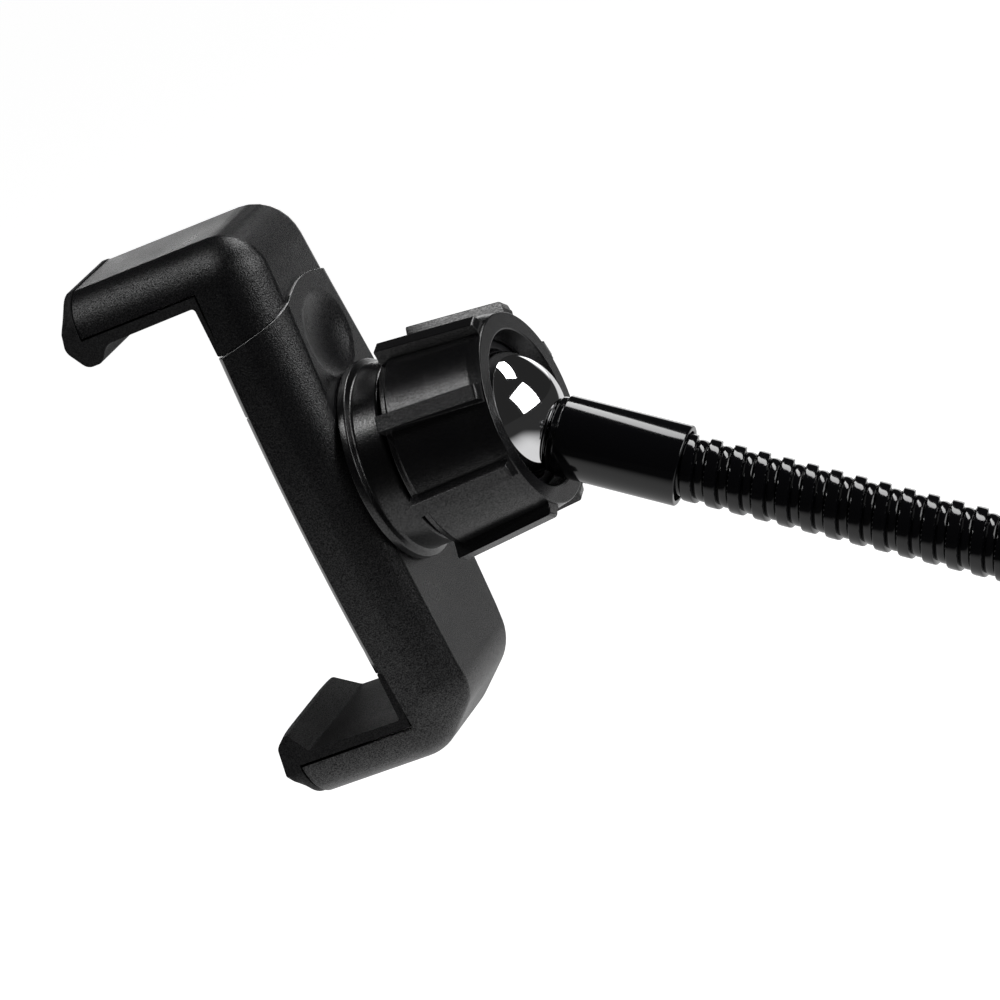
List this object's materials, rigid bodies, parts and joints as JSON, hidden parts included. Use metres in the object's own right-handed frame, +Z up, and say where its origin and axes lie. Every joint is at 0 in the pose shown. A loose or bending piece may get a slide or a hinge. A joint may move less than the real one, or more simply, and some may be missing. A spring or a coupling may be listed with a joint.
{
  "type": "phone handlebar mount",
  "caption": "Spring-loaded phone holder with padded jaws on a ribbed-nut ball joint, a flexible gooseneck and a split clamp for a handlebar.",
  "frame": {"origin": "centre of the flat on the clamp cap's outer side, on the neck's axis", "axes": "+Z up along the jaws of the holder at rest, +X from the phone towards the ball joint, +Y along the handlebar and across the holder"},
  "size_m": [0.1732, 0.0294, 0.1369],
  "materials": {
    "shell_black": "matte, finely textured",
    "nut_black": "semi-gloss",
    "rubber": "matt, fine grain",
    "chrome": "polished",
    "acetal": "satin",
    "neck_black": "gloss",
    "clamp_black": "satin",
    "steel": "zinc plated"
  },
  "bodies": {
    "clamp": {"clamp_base": "clamp_black", "clamp_bolt_lower": "steel", "clamp_bolt_upper": "steel", "clamp_cap": "clamp_black", "clamp_liner_base": "rubber", "clamp_liner_cap": "rubber", "clamp_nut_lower": "steel", "clamp_nut_upper": "steel", "neck_jam_nut": "clamp_black", "neck_link_01": "neck_black", "neck_lower_ferrule": "neck_black", "neck_stud": "steel"},
    "neck_10": {"neck_link_11": "neck_black", "neck_upper_ferrule": "neck_black"},
    "ball": {"ball_stud": "chrome"},
    "holder": {"collar_screw_1": "steel", "collar_screw_2": "steel", "collar_screw_3": "steel", "cover_screw_1": "steel", "cover_screw_2": "steel", "cover_screw_3": "steel", "cover_screw_4": "steel", "front_pad": "rubber", "front_plate": "shell_black", "jaw_spring_left": "steel", "jaw_spring_right": "steel", "lower_jaw_pad": "rubber", "rear_housing": "shell_black", "socket_collar": "nut_black"},
    "ball_seat": {"collet_ring": "acetal", "friction_pad": "acetal"},
    "lock_nut": {"lock_nut": "nut_black"},
    "neck_01": {"neck_link_02": "neck_black"},
    "neck_02": {"neck_link_03": "neck_black"},
    "neck_03": {"neck_link_04": "neck_black"},
    "neck_04": {"neck_link_05": "neck_black"},
    "neck_05": {"neck_link_06": "neck_black"},
    "neck_06": {"neck_link_07": "neck_black"},
    "neck_07": {"neck_link_08": "neck_black"},
    "neck_08": {"neck_link_09": "neck_black"},
    "neck_09": {"neck_link_10": "neck_black"},
    "upper_jaw": {"upper_jaw": "shell_black", "upper_jaw_pad": "rubber"}
  },
  "joints": [
    {"name": "neck_bend_up_down", "type": "hinge", "parent": "clamp", "child": "neck_01", "pos_m": [-0.05267, 0, 0.03688], "axis": [0, 1, 0], "range_deg": [-12, 12]},
    {"name": "neck_bend_sideways", "type": "hinge", "parent": "neck_01", "child": "neck_02", "pos_m": [-0.05775, 0, 0.04044], "axis": [-0.5736, 0, -0.8192], "range_deg": [-12, 12]},
    {"name": "neck_flex_03", "type": "hinge", "parent": "neck_02", "child": "neck_03", "pos_m": [-0.06283, 0, 0.04399], "axis": [0, 1, 0], "range_deg": [-12, 12]},
    {"name": "neck_flex_04", "type": "hinge", "parent": "neck_03", "child": "neck_04", "pos_m": [-0.06791, 0, 0.04755], "axis": [-0.5736, 0, -0.8192], "range_deg": [-12, 12]},
    {"name": "neck_flex_05", "type": "hinge", "parent": "neck_04", "child": "neck_05", "pos_m": [-0.07299, 0, 0.05111], "axis": [0, 1, 0], "range_deg": [-12, 12]},
    {"name": "neck_flex_06", "type": "hinge", "parent": "neck_05", "child": "neck_06", "pos_m": [-0.07806, 0, 0.05466], "axis": [-0.5736, 0, -0.8192], "range_deg": [-12, 12]},
    {"name": "neck_flex_07", "type": "hinge", "parent": "neck_06", "child": "neck_07", "pos_m": [-0.08314, 0, 0.05822], "axis": [0, 1, 0], "range_deg": [-12, 12]},
    {"name": "neck_flex_08", "type": "hinge", "parent": "neck_07", "child": "neck_08", "pos_m": [-0.08822, 0, 0.06177], "axis": [-0.5736, 0, -0.8192], "range_deg": [-12, 12]},
    {"name": "neck_flex_09", "type": "hinge", "parent": "neck_08", "child": "neck_09", "pos_m": [-0.0933, 0, 0.06533], "axis": [0, 1, 0], "range_deg": [-12, 12]},
    {"name": "neck_flex_10", "type": "hinge", "parent": "neck_09", "child": "neck_10", "pos_m": [-0.09838, 0, 0.06889], "axis": [-0.5736, 0, -0.8192], "range_deg": [-12, 12]},
    {"name": "ball_swivel", "type": "hinge", "parent": "neck_10", "child": "ball", "pos_m": [-0.12041, 0, 0.08432], "axis": [0.8192, 0, -0.5736], "continuous": true},
    {"name": "ball_tilt", "type": "hinge", "parent": "ball", "child": "ball_seat", "pos_m": [-0.12041, 0, 0.08432], "axis": [0, 1, 0], "range_deg": [-3, 73]},
    {"name": "holder_spin", "type": "hinge", "parent": "ball_seat", "child": "holder", "pos_m": [-0.12041, 0, 0.08432], "axis": [1, 0, 0], "continuous": true},
    {"name": "nut_turn", "type": "hinge", "parent": "holder", "child": "lock_nut", "pos_m": [-0.12041, 0, 0.08432], "axis": [1, 0, 0], "continuous": true},
    {"name": "jaw_slide", "type": "slide", "parent": "holder", "child": "upper_jaw", "axis": [0, 0, 1], "range_m": [0, 0.028], "stiffness_N_per_m": 150, "springref_m": -0.03, "deforming": ["jaw_spring_left", "jaw_spring_right"]}
  ],
  "couplings": [
    {"joint": "neck_flex_03", "follows": "neck_bend_up_down", "ratio": 1},
    {"joint": "neck_flex_04", "follows": "neck_bend_sideways", "ratio": 1},
    {"joint": "neck_flex_05", "follows": "neck_bend_up_down", "ratio": 1},
    {"joint": "neck_flex_06", "follows": "neck_bend_sideways", "ratio": 1},
    {"joint": "neck_flex_07", "follows": "neck_bend_up_down", "ratio": 1},
    {"joint": "neck_flex_08", "follows": "neck_bend_sideways", "ratio": 1},
    {"joint": "neck_flex_09", "follows": "neck_bend_up_down", "ratio": 1},
    {"joint": "neck_flex_10", "follows": "neck_bend_sideways", "ratio": 1}
  ]
}
